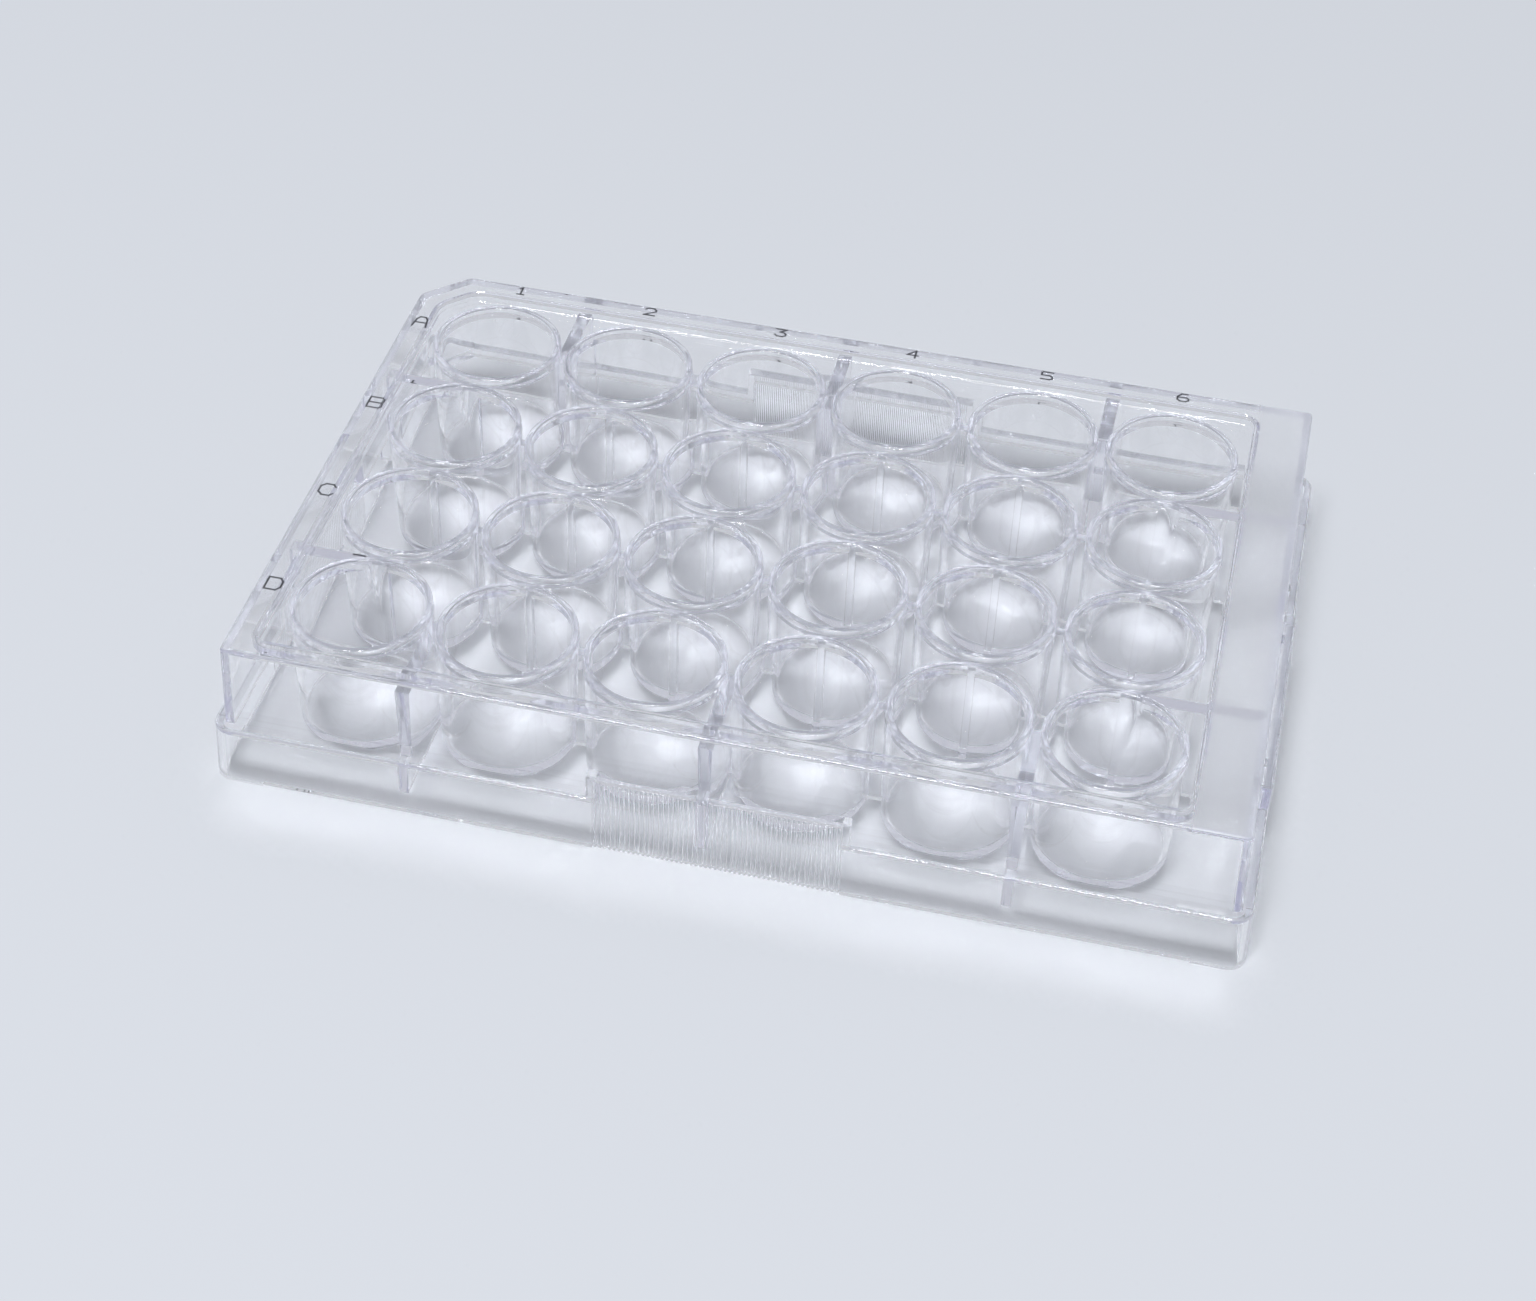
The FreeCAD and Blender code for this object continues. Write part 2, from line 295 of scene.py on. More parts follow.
# %% The step down to the deck
DECK_Z = 18.45 * MM         # upper face of the deck
DECK_MARGIN = 1.3 * MM      # from the outermost well rims to the step
DECK_CORNER = 1.6 * MM
DECK_KEY = 3.9 * MM         # how far the corner beside well A1 is cut
KEY_CORNER = 1.5 * MM       # radius at both ends of that cut
STEP_WALL = 0.75 * MM       # wall between the deck and the margin
DECK_ROUND = 0.4 * MM       # where the deck meets the step, on top
STEP_ROUND = 0.7 * MM       # along the step's lower edge, underneath
DECK_EDGE = 0.12 * MM       # the broken edge at the top of the step
RIM_R = 8.7 * MM            # outside of a well's rim
deck_half = Vector(((COLUMNS - 1) * PITCH / 2, (ROWS - 1) * PITCH / 2))
deck_half += Vector((RIM_R + DECK_MARGIN, RIM_R + DECK_MARGIN))


def deck_block(outset, z_low, z_high, rounding):
    half = deck_half + Vector((outset, outset))
    deck = block("deck", (GRID_X - half.x, -half.y, z_low), (GRID_X + half.x, half.y, z_high))
    cut = DECK_KEY + outset * (2 - math.sqrt(2))
    bevel(deck, lambda e: upright(e) and e.verts[0].co.x < GRID_X and e.verts[0].co.y > 0, cut, 1)
    keyed = [v.co.copy() for v in deck.data.vertices if v.co.x < GRID_X and v.co.y > 0]
    near_key = lambda e: any((e.verts[0].co - k).xy.length < TINY for k in keyed)
    bevel(deck, lambda e: upright(e) and not near_key(e), DECK_CORNER + outset, CORNER_STEPS)
    bevel(deck, lambda e: upright(e) and near_key(e), KEY_CORNER, CORNER_STEPS // 2)
    bevel(deck, level(z_low), rounding, EDGE_STEPS)
    return deck


combine(hollow, "DIFFERENCE", deck_block(STEP_WALL, DECK_Z - WALL, HEIGHT, STEP_ROUND))
recess = deck_block(0, DECK_Z, HEIGHT - DECK_EDGE, DECK_ROUND)
pick(recess, "FACE", lambda f: f.normal.z > FACING_UP)
bpy.ops.mesh.extrude_region_move(TRANSFORM_OT_translate={"value": (0, 0, DECK_EDGE)})
wider = [(half + DECK_EDGE) / half for half in deck_half]
bpy.ops.transform.resize(value=(*wider, 1), center_override=(GRID_X, 0, 0))
bpy.ops.mesh.extrude_region_move(TRANSFORM_OT_translate={"value": (0, 0, WALL)})
done()
combine(plate, "DIFFERENCE", hollow, recess)
print("shell faces:", len(plate.data.polygons))

# %% [markdown]
# ## Ribs and webs
# Such a plate gets its stiffness from thin walls on edge. Ribs run from the outer wall to
# the gap between two wells, and webs join each well to its neighbours. A rib is a cube
# whose lower end is scaled thinner, as mould draft makes it. All are trimmed by the outer
# form made half a wall smaller, so that they end inside the stepped wall.

# %% Thin upright walls
RIB_TOP = 1.8 * MM          # rib thickness under the deck
RIB_FOOT = 1.15 * MM        # rib thickness at its lower edge
RIB_FOOT_Z = 3.0 * MM
WEB_X = 1.2 * MM            # web between neighbours in a row
WEB_Y = 0.95 * MM           # web between neighbours in a column
WELL_UNDER_Z = 3.0 * MM     # lower face of a well's floor
HANG_Z = DECK_Z - WALL / 2  # middle of the deck's thickness, where things hang from


def wall(start, end, across, top, foot, foot_z):
    """An upright wall from start to end along X or Y, centred at across, thinner below."""
    low, high = min(start, end), max(start, end)
    fin = block("fin", (low, -top / 2, foot_z), (high, top / 2, HANG_Z))
    pick(fin, "VERT", level(foot_z))
    bpy.ops.transform.resize(value=(1, foot / top, 1), center_override=(0, 0, 0))
    done()
    return copy_once(fin, (0, across, 0))


ribs = []
for y in (-PITCH, PITCH):
    ribs.append(wall(LENGTH / 2, well_columns[-1], y, RIB_TOP, RIB_FOOT, RIB_FOOT_Z))
    ribs.append(wall(-LENGTH / 2, well_columns[0], y, RIB_TOP, RIB_FOOT, RIB_FOOT_Z))
for step in (-2, 0, 2):
    x = GRID_X + step * PITCH
    rib = wall(WIDTH / 2, well_rows[0], 0, RIB_TOP, RIB_FOOT, RIB_FOOT_Z)
    ribs.append(copy(rib, (x, 0, 0), math.pi / 2))
    ribs.append(copy_once(rib, (x, 0, 0), -math.pi / 2))
print("ribs:", len(ribs))

# %% [markdown]
# ## Webs
# A web fills the gap between two wells down to their floors. One web along X and one along Y
# are modelled, and every gap gets a copy. Each reaches a little into both wells, where it is
# cut off later together with the plug that makes room for the well.

# %% Webs between neighbouring wells
WELL_FLOOR_R = 7.7 * MM     # inside radius at a well's floor
gap = (WELL_FLOOR_R, PITCH - WELL_FLOOR_R)
web_x = wall(gap[0], gap[1], 0, WEB_X, WEB_X, WELL_UNDER_Z)
web_y = copy_once(wall(gap[0], gap[1], 0, WEB_Y, WEB_Y, WELL_UNDER_Z), (0, 0, 0), math.pi / 2)
webs = [copy(web_x, (x, y, 0)) for x in well_columns[:-1] for y in well_rows]
webs += [copy(web_y, (x, y, 0)) for x in well_columns for y in well_rows[1:]]
bpy.data.objects.remove(web_x)
bpy.data.objects.remove(web_y)
print("webs:", len(webs))
stiffeners = combine(joined(webs), "UNION", joined(ribs))
combine(stiffeners, "INTERSECT", inner_form(WALL / 2))
combine(plate, "UNION", stiffeners)

# %% [markdown]
# ## Wells
# A well is a cup: a cone primitive with a hardly visible taper, its top face inset and
# drawn down to make the inside, and its edges rounded. One cup is modelled and copied to
# all 24 places. Each place first loses a plug of deck and rib, so that the cup's own wall
# is all that is left there.

# %% One well
WELL_STEPS = 96
OUTER_FOOT_R = 8.45 * MM    # outside radius at the lower face
OUTER_TOP_R = 8.8 * MM      # outside radius under the deck
WELL_TOP_R = 7.95 * MM      # inside radius at the rim
WELL_FLOOR_Z = 4.0 * MM
RIM_Z = 19.4 * MM           # top of the rim, below the margin's
RIM_ROUND = 0.2 * MM
FLOOR_ROUND = 0.4 * MM
FOOT_ROUND = 0.15 * MM


def cone(name, low_r, high_r, z_low, z_high):
    """A frustum primitive standing on z_low."""
    bpy.ops.object.select_all(action="DESELECT")
    bpy.ops.mesh.primitive_cone_add(vertices=WELL_STEPS, radius1=low_r, radius2=high_r,
                                    depth=z_high - z_low, location=(0, 0, (z_low + z_high) / 2))
    obj = bpy.context.object
    obj.name = name
    bpy.ops.object.transform_apply(location=True, rotation=True, scale=True)
    return obj


def ring(z):
    """A test for the edges of a circle round the well's axis at height z."""
    return lambda e: level(z)(e) and abs(e.verts[0].co.xy.length - e.verts[1].co.xy.length) < TINY


def scaled(ratio):
    """Scale what is selected about the well's own axis."""
    bpy.ops.transform.resize(value=(ratio, ratio, 1), center_override=(0, 0, 0))


well = cone("well", OUTER_FOOT_R, OUTER_TOP_R, WELL_UNDER_Z, HANG_Z)
pick(well, "FACE", lambda f: f.normal.z > FACING_UP)
bpy.ops.mesh.inset(thickness=OUTER_TOP_R - RIM_R)
bpy.ops.mesh.extrude_region_move(TRANSFORM_OT_translate={"value": (0, 0, RIM_Z - HANG_Z)})
bpy.ops.mesh.inset(thickness=RIM_R - WELL_TOP_R)
bpy.ops.mesh.extrude_region_move(TRANSFORM_OT_translate={"value": (0, 0, WELL_FLOOR_Z - RIM_Z)})
scaled(WELL_FLOOR_R / WELL_TOP_R)
done()
bevel(well, ring(RIM_Z), RIM_ROUND, EDGE_STEPS)
bevel(well, ring(WELL_FLOOR_Z), FLOOR_ROUND, EDGE_STEPS)
bevel(well, ring(WELL_UNDER_Z), FOOT_ROUND, EDGE_STEPS // 2)
print("well faces:", len(well.data.polygons))

# %% [markdown]
# ## Twenty-four wells
# The cup is finished, so it is copied, each copy with its own mesh. All plugs are taken out
# in one boolean and all cups are joined on in another, which is quicker than 24 of each.

# %% All the wells, in the places cut for them
PLUG_R = 8.2 * MM           # inside the well's wall all the way up
plug = cone("plug", PLUG_R, PLUG_R, -WALL, HEIGHT + WALL)
centres = [(x, y, 0) for y in well_rows for x in well_columns]
plugs = joined([copy(plug, centre) for centre in centres])
wells = joined([copy(well, centre) for centre in centres])
bpy.data.objects.remove(plug)
bpy.data.objects.remove(well)
combine(plate, "DIFFERENCE", plugs)
combine(plate, "UNION", wells)
print("wells:", len(centres))

# %% [markdown]
# ## Fluted grips
# Each grip panel is covered with fine upright half-round flutes that a glove can hold. The
# ground of the panel is cut back by a hair, and a row of thin cylinders, made by an array
# along the panel, is sunk half into it.

# %% Flutes
FLUTE_PITCH = 0.6 * MM
FLUTE_R = 0.19 * MM
FLUTE_STEPS = 28
GRIP_END = 0.7 * MM         # plain block at each end of the flutes
GROUND = SKIRT_DRAFT + 0.05 * MM            # how far the flutes' middles lie behind the skirt's foot
FLUTE_TOP = GRIP_Z - 0.3 * MM               # a plain strip is left above
FOOT_LIFT = 0.25 * MM       # the rim between the feet clears the table by this much
count = int((GRIP_LENGTH - 2 * GRIP_END) / FLUTE_PITCH)
bpy.ops.object.select_all(action="DESELECT")
bpy.ops.mesh.primitive_cylinder_add(vertices=FLUTE_STEPS, radius=FLUTE_R,
                                    depth=FLUTE_TOP - FOOT_LIFT)
comb = bpy.context.object
comb.location = (-(count - 1) / 2 * FLUTE_PITCH, -WIDTH / 2 + GROUND, (FLUTE_TOP + FOOT_LIFT) / 2)
bpy.ops.object.transform_apply(location=True, rotation=True, scale=True)
row = comb.modifiers.new("row", "ARRAY")
row.count = count
row.use_relative_offset = False
row.use_constant_offset = True
row.constant_offset_displace = (FLUTE_PITCH, 0, 0)
only(comb)
bpy.ops.object.modifier_apply(modifier=row.name)
ground = block("ground", (-GRIP_LENGTH / 2 + GRIP_END, -WIDTH, -WALL),
               (GRIP_LENGTH / 2 - GRIP_END, -WIDTH / 2 + GROUND, FLUTE_TOP))
places = [((0, 0, 0), 0), ((0, 0, 0), math.pi),
          ((SIDE_GRIP_OUT, SIDE_GRIP_Y, 0), math.pi / 2),
          ((-SIDE_GRIP_OUT, SIDE_GRIP_Y, 0), -math.pi / 2)]
combine(plate, "DIFFERENCE", *[copy(ground, move, turn) for move, turn in places])
combine(plate, "UNION", *[copy(comb, move, turn) for move, turn in places])
bpy.data.objects.remove(ground)
bpy.data.objects.remove(comb)
print("flutes on each grip:", count)

# %% [markdown]
# ## Feet
# The plate stands on its four corners. Between them the rim is cut back by a quarter of a
# millimetre, which a shallow box along each side does.

# %% Rim between the feet
FOOT_LENGTH = 6.5 * MM
along = LENGTH / 2 - FOOT_LENGTH
across = WIDTH / 2 - FOOT_LENGTH
combine(plate, "DIFFERENCE",
        block("relief", (-along, -WIDTH, -WALL), (along, WIDTH, FOOT_LIFT)),
        block("relief", (-LENGTH, -across, -WALL), (LENGTH, across, FOOT_LIFT)))

# %% [markdown]
# ## Row letters and column numbers
# Fine strokes are sunk in the top: letters A to D on the left margin and numbers 1 to 6
# on the rear one. Each sign is a list of lines in a box one wide and one high, with a short
# straight step at every corner. A thin bar stands on every line: the wider bars cut the
# grooves, and narrower ones make a dark grey fill that lies in them, so that they read.

# %% Strokes of the letters and numbers
GLYPHS = {
    "A": [[(0, 0), (0.12, 0.75), (0.3, 1), (0.7, 1), (0.88, 0.75), (1, 0)],
          [(0.07, 0.42), (0.93, 0.42)]],
    "B": [[(0, 0), (0, 1), (0.85, 1), (1, 0.85), (1, 0.62), (0.88, 0.5), (0, 0.5)],
          [(0.88, 0.5), (1, 0.38), (1, 0.15), (0.85, 0), (0, 0)]],
    "C": [[(1, 0.8), (0.8, 1), (0.3, 1), (0, 0.75), (0, 0.25), (0.3, 0), (0.8, 0), (1, 0.2)]],
    "D": [[(0, 0), (0, 1), (0.75, 1), (1, 0.75), (1, 0.25), (0.75, 0), (0, 0)]],
    "1": [[(0.2, 0.75), (0.5, 1), (0.5, 0)], [(0.2, 0), (0.8, 0)]],
    "2": [[(0, 0.8), (0.25, 1), (0.75, 1), (1, 0.8), (1, 0.6), (0, 0), (1, 0)]],
    "3": [[(0, 1), (1, 1), (0.4, 0.6), (0.8, 0.55), (1, 0.4), (1, 0.2), (0.75, 0), (0.25, 0),
           (0, 0.2)]],
    "4": [[(0.75, 0), (0.75, 1), (0, 0.35), (1, 0.35)]],
    "5": [[(1, 1), (0, 1), (0, 0.55), (0.75, 0.55), (1, 0.4), (1, 0.15), (0.75, 0), (0, 0)]],
    "6": [[(0.85, 1), (0.35, 1), (0, 0.6), (0, 0.2), (0.25, 0), (0.75, 0), (1, 0.2), (1, 0.4),
           (0.8, 0.55), (0, 0.5)]],
}
LETTER_SIZE = Vector((1.95, 2.2)) * MM      # width and height of a letter
NUMBER_SIZE = Vector((1.5, 1.6)) * MM
LETTER_X = -59.6 * MM
LETTER_PITCH = 18.87 * MM   # the letters stand a little wider apart than the rows
LETTER_MIDDLE_Y = 0.55 * MM
LETTERS = "ABCD"
NUMBER_Y = 39.5 * MM
GROOVE_WIDTH = 0.26 * MM
GROOVE_DEPTH = 0.12 * MM
FILL_GAP = 0.01 * MM        # air between the fill and its groove, on every side


def bar(start, end, width, low, high):
    """A thin upright bar on the line from start to end."""
    line = Vector(end) - Vector(start)
    middle = (Vector(start) + Vector(end)) / 2
    turn = math.atan2(line.y, line.x)
    bpy.ops.object.select_all(action="DESELECT")
    bpy.ops.mesh.primitive_cube_add(size=1, location=(*middle, (low + high) / 2),
                                    rotation=(0, 0, turn))
    obj = bpy.context.object
    obj.scale = (line.length + width, width, high - low)
    bpy.ops.object.transform_apply(location=True, rotation=True, scale=True)
    return obj


def strokes(text, centre, size, width, low, high):
    """All bars of one letter, united."""
    corner = Vector(centre) - size / 2
    bars = []
    for path in GLYPHS[text]:
        places = [corner + Vector(point) * size for point in path]
        bars += [bar(a, b, width, low, high) for a, b in zip(places, places[1:])]
    return combine(bars[0], "UNION", *bars[1:])


first_letter_y = LETTER_MIDDLE_Y + LETTER_PITCH * (len(LETTERS) - 1) / 2
labels = [(letter, (LETTER_X, first_letter_y - LETTER_PITCH * row), LETTER_SIZE)
          for row, letter in enumerate(LETTERS)]
labels += [(str(i + 1), (x, NUMBER_Y), NUMBER_SIZE) for i, x in enumerate(well_columns)]
grooves = [strokes(*label, GROOVE_WIDTH, HEIGHT - GROOVE_DEPTH, HEIGHT + WALL) for label in labels]
combine(plate, "DIFFERENCE", joined(grooves))
fills = [strokes(*label, GROOVE_WIDTH - 2 * FILL_GAP, HEIGHT - GROOVE_DEPTH + FILL_GAP,
                 HEIGHT - FILL_GAP) for label in labels]
marks = joined(fills)
marks.name = "row_and_column_marks"
print("letters and numbers:", len(labels), "faces of the fill:", len(marks.data.polygons))

# %% [markdown]
# ## Finish of the mesh
# Curved walls are made of many narrow flat faces. Faces that meet at a small angle are
# shaded as one smooth surface, and every sharper edge stays crisp. The weighted
# normals keep the wide flat faces truly flat beside their small rounds, which matters in
# clear plastic, because a bent normal there would bend everything seen through it.

# %% Smooth curves, crisp edges
SMOOTH_UNDER = math.radians(32)
LARGE_FACES_LEAD = 100      # the most that a large face can pull a normal its way
only(plate)
bpy.ops.object.shade_smooth_by_angle(angle=SMOOTH_UNDER)
weights = plate.modifiers.new("weights", "WEIGHTED_NORMAL")
weights.keep_sharp = True
weights.weight = LARGE_FACES_LEAD
bpy.ops.object.modifier_apply(modifier=weights.name)
measured = bmesh.new()
measured.from_mesh(plate.data)
triangles = sum(len(face.verts) - 2 for face in measured.faces)
open_edges = sum(1 for edge in measured.edges if not edge.is_manifold)
print("volume, mm3:", round(measured.calc_volume() / MM ** 3, 1))
print("triangles:", triangles, "open edges:", open_edges)
measured.free()
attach(plate, "root")
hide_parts("well_plate")

# %% [markdown]
# ## Clear polystyrene
# Crystal polystyrene is a clear, glossy plastic with a refractive index of 1.59. A thin wall
# of this plate looks colourless, and a wall seen edge-on looks lavender grey. A Principled
# shader with full transmission gives the gloss and refraction, and absorption inside gives
# the tint that deepens with the way through.

# %% Material helpers
def linear(code):
    """An sRGB hex colour as the linear RGBA that shaders use."""
    channels = [int(code[i:i + 2], 16) / 255 for i in (1, 3, 5)]
    return [c / 12.92 if c <= 0.04045 else ((c + 0.055) / 1.055) ** 2.4 for c in channels] + [1]


def add(tree, kind, settings=(), **links):
    """Add a node; each link is a value or another node's output for the socket of that name."""
    node = tree.nodes.new(kind)
    for name, value in dict(settings).items():
        setattr(node, name, value)
    for name, value in links.items():
        socket = node.inputs[name.replace("_", " ")]
        if isinstance(value, bpy.types.NodeSocket):
            tree.links.new(value, socket)
        else:
            socket.default_value = value
    return node


def math_node(tree, operation, *values):
    """One sum on values that are numbers or other nodes' outputs."""
    node = tree.nodes.new("ShaderNodeMath")
    node.operation = operation
    for socket, value in zip(node.inputs, values):
        if isinstance(value, bpy.types.NodeSocket):
            tree.links.new(value, socket)
        else:
            socket.default_value = value
    return node.outputs[0]


def mix(tree, share, first, second):
    """Blend two shaders, or use the second where the share is 1."""
    node = add(tree, "ShaderNodeMixShader", Fac=share)
    tree.links.new(first, node.inputs[1])
    tree.links.new(second, node.inputs[2])
    return node.outputs[0]


def empty_material(name):
    material = bpy.data.materials.new(name)
    material.use_nodes = True
    material.node_tree.nodes.clear()
    return material


# %% [markdown]
# ## Polished walls and a matte margin
# A polished mould gives polished walls, so their roughness is 0. The broad margin on the
# right looks frosted, as an etched mould would leave it. One material does both: it is
# rough only where the place is on that margin and at the top.

# %% Clear polystyrene, injection moulded: what the camera sees through
REFRACTION = 1.59           # polished and clear, so it bends and mirrors like crystal glass
ETCHED = 0.3                # roughness of the matte label margin, a soft frosted sheen
MATTE_GAP = 0.3 * MM        # polished strip between the deck's edge and the matte margin
MARGIN_X = GRID_X + deck_half.x + DECK_EDGE + MATTE_GAP
plastic = empty_material("clear_polystyrene_moulded")
tree = plastic.node_tree
clear = add(tree, "ShaderNodeBsdfPrincipled", Base_Color=(1, 1, 1, 1), Roughness=0.0,
            IOR=REFRACTION, Transmission_Weight=1.0)
object_place = add(tree, "ShaderNodeTexCoord").outputs["Object"]
place = add(tree, "ShaderNodeSeparateXYZ", Vector=object_place)
on_margin = math_node(tree, "GREATER_THAN", place.outputs["X"], MARGIN_X)
on_top = math_node(tree, "GREATER_THAN", place.outputs["Z"], HEIGHT - TOP_ROUND)
etched = math_node(tree, "MULTIPLY", on_margin, on_top)
tree.links.new(math_node(tree, "MULTIPLY", etched, ETCHED), clear.inputs["Roughness"])
print("matte label margin from x, mm:", round(MARGIN_X / MM, 2))

# %% [markdown]
# ## How light reaches the table
# Light that bends through thin clear walls makes caustics, which a path tracer finds only by
# luck, as noise. Most walls here have nearly parallel faces, so a ray leaves them in about
# the direction it came in. As a stand-in for caustics, rays that carry light to the table go
# straight on, and at every face a share is mirrored, by Fresnel. The index turns over inside
# the plastic, so that light is mirrored within a wall too. Rims and rounds, which would
# really bend light, lose their fine patterns on the table this way.

# %% Straight-through plastic for light rays
side = add(tree, "ShaderNodeNewGeometry")
ratio = add(tree, "ShaderNodeMapRange", Value=side.outputs["Backfacing"],
            To_Min=REFRACTION, To_Max=1 / REFRACTION)
mirrored = add(tree, "ShaderNodeFresnel", IOR=ratio.outputs[0])
shine = add(tree, "ShaderNodeBsdfGlossy", Roughness=0.0)

# %% [markdown]
# ## Painted shadow where light would be caught
# Under the skirt's ledge lies a soft dark band, and under each well a dark crescent. Light
# that an upright wall leads away would leave such gaps, and rays that go straight on can't
# show that. So this shadow is painted by place: at upright faces level with a well's
# floor or with the ledge, the straight-through share is cut down.

# %% Painted shadow at upright faces level with a well's floor or with the ledge
PAINTED_SHADOW_SHARE = 0.42               # share of the straight-through light cut there: a painted shadow on the table
PAINTED_SHADOW_TOP = WELL_FLOOR_Z + 1.3 * MM          # upper limit of the painted crescents
UPRIGHT = 0.3               # a face counts as upright while its normal's Z is under this


def outside(axis, distance):
    """1 where the place along an axis is further out than this, on either side."""
    from_middle = math_node(tree, "ABSOLUTE", place.outputs[axis])
    return math_node(tree, "GREATER_THAN", from_middle, distance)


normal_z = add(tree, "ShaderNodeSeparateXYZ", Vector=side.outputs["Normal"]).outputs["Z"]
upright_face = math_node(tree, "LESS_THAN", math_node(tree, "ABSOLUTE", normal_z), UPRIGHT)
by_well_floor = math_node(tree, "COMPARE", place.outputs["Z"], (WELL_UNDER_Z + PAINTED_SHADOW_TOP) / 2,
                          (PAINTED_SHADOW_TOP - WELL_UNDER_Z) / 2)
by_ledge = math_node(tree, "COMPARE", place.outputs["Z"], LEDGE_Z - WALL / 2, WALL / 2 + TINY)
in_skirt = math_node(tree, "MAXIMUM", outside("X", BODY_LENGTH / 2 + WALL / 2),
                     outside("Y", BODY_WIDTH / 2 + WALL / 2))
by_skirt_ledge = math_node(tree, "MULTIPLY", by_ledge, in_skirt)
by_floors = math_node(tree, "MAXIMUM", by_well_floor, by_skirt_ledge)
# Mask of the painted shadow: the dark band and the crescents on the table
painted_shadow = math_node(tree, "MULTIPLY", upright_face, by_floors)
through = add(tree, "ShaderNodeBsdfTransparent",
              Color=math_node(tree, "MULTIPLY_ADD", painted_shadow, -PAINTED_SHADOW_SHARE, 1.0))
straight = mix(tree, mirrored.outputs[0], through.outputs[0], shine.outputs[0])

# %% [markdown]
# ## Rays that would never get out
# In a rim some rays are mirrored inside the plastic over and over. A ray cut short there
# would be black, and a rim of such a plate looks light. As a stand-in for following them to
# the end, such rays are let out after a number of faces, in the direction they have, through
# plastic that bends nothing.

# %% All of it together, with the violet tint inside
MOST_BENDS = 12             # faces met before a ray is let out
TINT_DENSITY = 8.0          # per metre of the way through, so only long ways show it
path = add(tree, "ShaderNodeLightPath")
too_deep = math_node(tree, "GREATER_THAN", path.outputs["Ray Depth"], MOST_BENDS)
let_out = add(tree, "ShaderNodeBsdfRefraction", Roughness=0.0, IOR=1.0)
seen = mix(tree, too_deep, clear.outputs[0], let_out.outputs[0])
lighting = math_node(tree, "MAXIMUM", path.outputs["Is Shadow Ray"], path.outputs["Diffuse Depth"])
surface = mix(tree, lighting, seen, straight)
output = add(tree, "ShaderNodeOutputMaterial", Surface=surface)
inside = add(tree, "ShaderNodeVolumeAbsorption", Color=linear("#B9B6EA"), Density=TINT_DENSITY)
tree.links.new(inside.outputs[0], output.inputs["Volume"])
plate.data.materials.clear()
plate.data.materials.append(plastic)
print("nodes in the plastic:", len(tree.nodes))

# %% [markdown]
# ## Grey fill of the letters
# The strokes read as dark grey lines, so the grooves are filled with a dark matte grey with
# a little mottling, which keeps them legible over the clear plastic. Whether a real plate's
# strokes are filled or only sunk can't be told at this size.

# %% Matte dark grey fill in the grooves
MOTTLE = 0.6 * MM           # size of the darker and lighter patches
FILL_ROUGHNESS = 0.6         # matte
stroke_fill = empty_material("dark_grey_stroke_fill")
tree = stroke_fill.node_tree
grain = add(tree, "ShaderNodeTexNoise", Scale=1 / MOTTLE, Detail=3.0,
            Vector=add(tree, "ShaderNodeTexCoord").outputs["Object"])
tone = add(tree, "ShaderNodeMix", {"data_type": "RGBA"}, Factor=grain.outputs[0])
tone.inputs["A"].default_value = linear("#24252A")
tone.inputs["B"].default_value = linear("#3C3D44")
matte_fill = add(tree, "ShaderNodeBsdfPrincipled", Base_Color=tone.outputs["Result"],
                Roughness=FILL_ROUGHNESS)
add(tree, "ShaderNodeOutputMaterial", Surface=matte_fill.outputs[0])
marks.data.materials.clear()
marks.data.materials.append(stroke_fill)
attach(marks, "root")
print("marks with the finish:", stroke_fill.name)

# %% [markdown]
# ## The table
# The plate stands on a pale, matt, faintly blue surface. A wide plane with one soft colour is
# the whole backdrop: clear plastic shows little but what lies behind it, so the plane has to
# be large enough to fill the view at every angle. The floor takes the plate's shadow.

# %% Floor
FLOOR_SIZE = 6.0
bpy.ops.object.select_all(action="DESELECT")
bpy.ops.mesh.primitive_plane_add(size=FLOOR_SIZE)
floor = bpy.context.object
floor.name = "floor"
pale = empty_material("pale_table")
tree = pale.node_tree
matte = add(tree, "ShaderNodeBsdfDiffuse", Color=linear("#D8DCE3"))
add(tree, "ShaderNodeOutputMaterial", Surface=matte.outputs[0])
floor.data.materials.append(pale)
print("floor, m:", FLOOR_SIZE)

# %% [markdown]
# ## A soft room
# Round the table is a pale room without windows. It does two jobs, so it has two levels:
# what is mirrored in the plastic, and how much it lights the table. A darker mirrored room
# draws the thin grey outlines that show a clear object on a pale table.

# %% Room light
SURROUND = 0.62             # the room as the camera sees it in the plastic; 1 is white
ROOM_ON_FLOOR = 0.15        # level of the room's light on the table, beside the softbox's
world = bpy.data.worlds.new("soft_room")
world.cycles.sampling_method = "NONE"
bpy.context.scene.world = world
world.use_nodes = True
tree = world.node_tree
tree.nodes.clear()
path = add(tree, "ShaderNodeLightPath")
after_floor = add(tree, "ShaderNodeMapRange", Value=path.outputs["Diffuse Depth"], From_Min=0.0,
                  From_Max=1.0, To_Min=SURROUND, To_Max=ROOM_ON_FLOOR)
surround = add(tree, "ShaderNodeBackground", Color=linear("#F4F7FF"),
               Strength=after_floor.outputs[0])
add(tree, "ShaderNodeOutputWorld", Surface=surround.outputs[0])
print("room levels, seen and on the table:", SURROUND, ROOM_ON_FLOOR)

# %% [markdown]
# ## One large softbox
# A single softbox hangs high and in front of the plate. It is far away for its size, so the
# table is lit evenly, and wide enough that the shadow's edges are soft. It faces straight
# down, so a short formula gives the power that lights the table near the plate to a chosen
# level. Its light already comes through the plastic on the straight rays, so bent rays don't
# see it, and it is not counted twice.

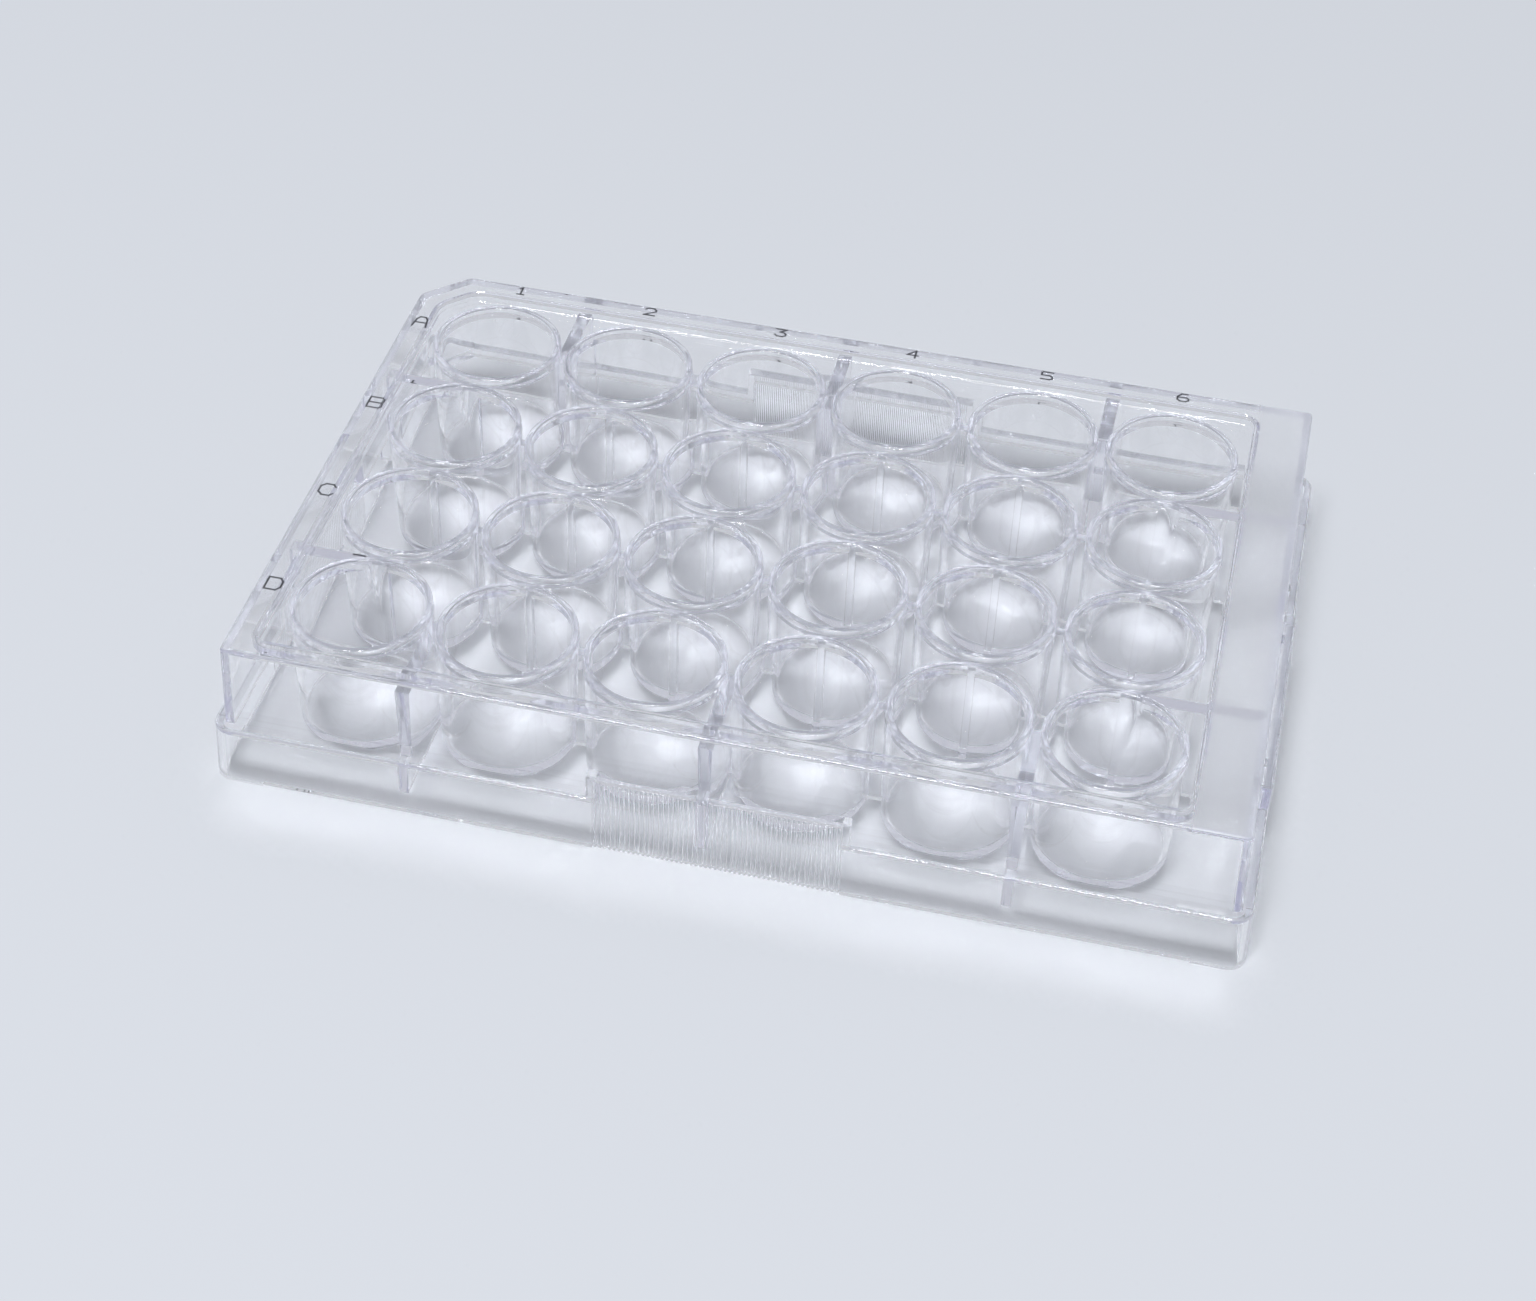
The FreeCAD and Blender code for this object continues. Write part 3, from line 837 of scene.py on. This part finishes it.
# %% Key light
KEY_ON_FLOOR = 0.88         # level of the light on the table; 1 shows its colour as it is
KEY_HEIGHT = 4.0
KEY_PLACE = Vector((-0.08, -0.5, 1.0))      # in heights
KEY_SIZE = Vector((0.45, 0.28))             # in heights
key_data = bpy.data.lights.new("key_softbox", "AREA")
key_data.shape = "RECTANGLE"
key_data.size, key_data.size_y = KEY_SIZE * KEY_HEIGHT
key_data.energy = KEY_ON_FLOOR * math.pi ** 2 * KEY_PLACE.length_squared ** 2 * KEY_HEIGHT ** 2
key = bpy.data.objects.new("key_softbox", key_data)
bpy.context.collection.objects.link(key)
key.location = KEY_PLACE * KEY_HEIGHT
key.visible_transmission = False
print("softbox power, W:", round(key_data.energy, 1))

# %% [markdown]
# ## Camera
# The view is from above the front, turned a little to the right. Where the camera stands is
# worked out from an azimuth, an elevation and a distance to a point near the plate's front.
# A lens shift slides the picture sideways and up without turning the camera.

# %% Camera
AZIMUTH, ELEVATION, ROLL = (math.radians(angle) for angle in (11.201, 42.332, 2.501))
TARGET = Vector((0.708, -11.735, 10)) * MM
DISTANCE = 345.857 * MM
SENSOR_WIDTH = 36           # mm, with the lens in the same unit
FOCAL_LENGTH = 64.32
LENS_SHIFT = (-0.00804, -0.00435)
NEAREST = 0.01              # nothing closer to the camera than this is drawn
camera_data = bpy.data.cameras.new("camera")
camera = bpy.data.objects.new("camera", camera_data)
bpy.context.collection.objects.link(camera)
back = Vector((math.sin(AZIMUTH) * math.cos(ELEVATION),
               -math.cos(AZIMUTH) * math.cos(ELEVATION), math.sin(ELEVATION)))
camera.rotation_mode = "QUATERNION"
facing = back.to_track_quat("Z", "Y")
camera.rotation_quaternion = facing @ about_z(ROLL).to_quaternion()
camera.location = TARGET + back * DISTANCE
camera_data.sensor_width = SENSOR_WIDTH
camera_data.lens = FOCAL_LENGTH
camera_data.shift_x, camera_data.shift_y = LENS_SHIFT
camera_data.clip_start = NEAREST
scene = bpy.context.scene
scene.camera = camera
scene.view_settings.view_transform = "Standard"
print("camera at, mm:", [round(value / MM, 1) for value in camera.location])

# %% [markdown]
# ## How far a ray is followed
# From the camera to the table a ray can cross ten or more faces of clear plastic, so many
# bounces are allowed. The table needs one only. Nothing is blurred or clamped, because that
# would take away the thin bright lines by which the eye knows clear plastic.

# %% Ray settings
FACES_CROSSED = 26          # more than MOST_BENDS, so that rays let out still reach the table
LIGHT_CROSSES = 16          # faces that light can cross straight on
scene.cycles.blur_glossy = 0
scene.cycles.sample_clamp_indirect = 0
scene.cycles.diffuse_bounces = 1
scene.cycles.max_bounces = FACES_CROSSED
scene.cycles.glossy_bounces = FACES_CROSSED
scene.cycles.transmission_bounces = FACES_CROSSED
scene.cycles.transparent_max_bounces = LIGHT_CROSSES
scene.cycles.use_light_tree = False         # it helps to choose among many lamps, and here is one
print("faces a ray may meet:", scene.cycles.max_bounces)
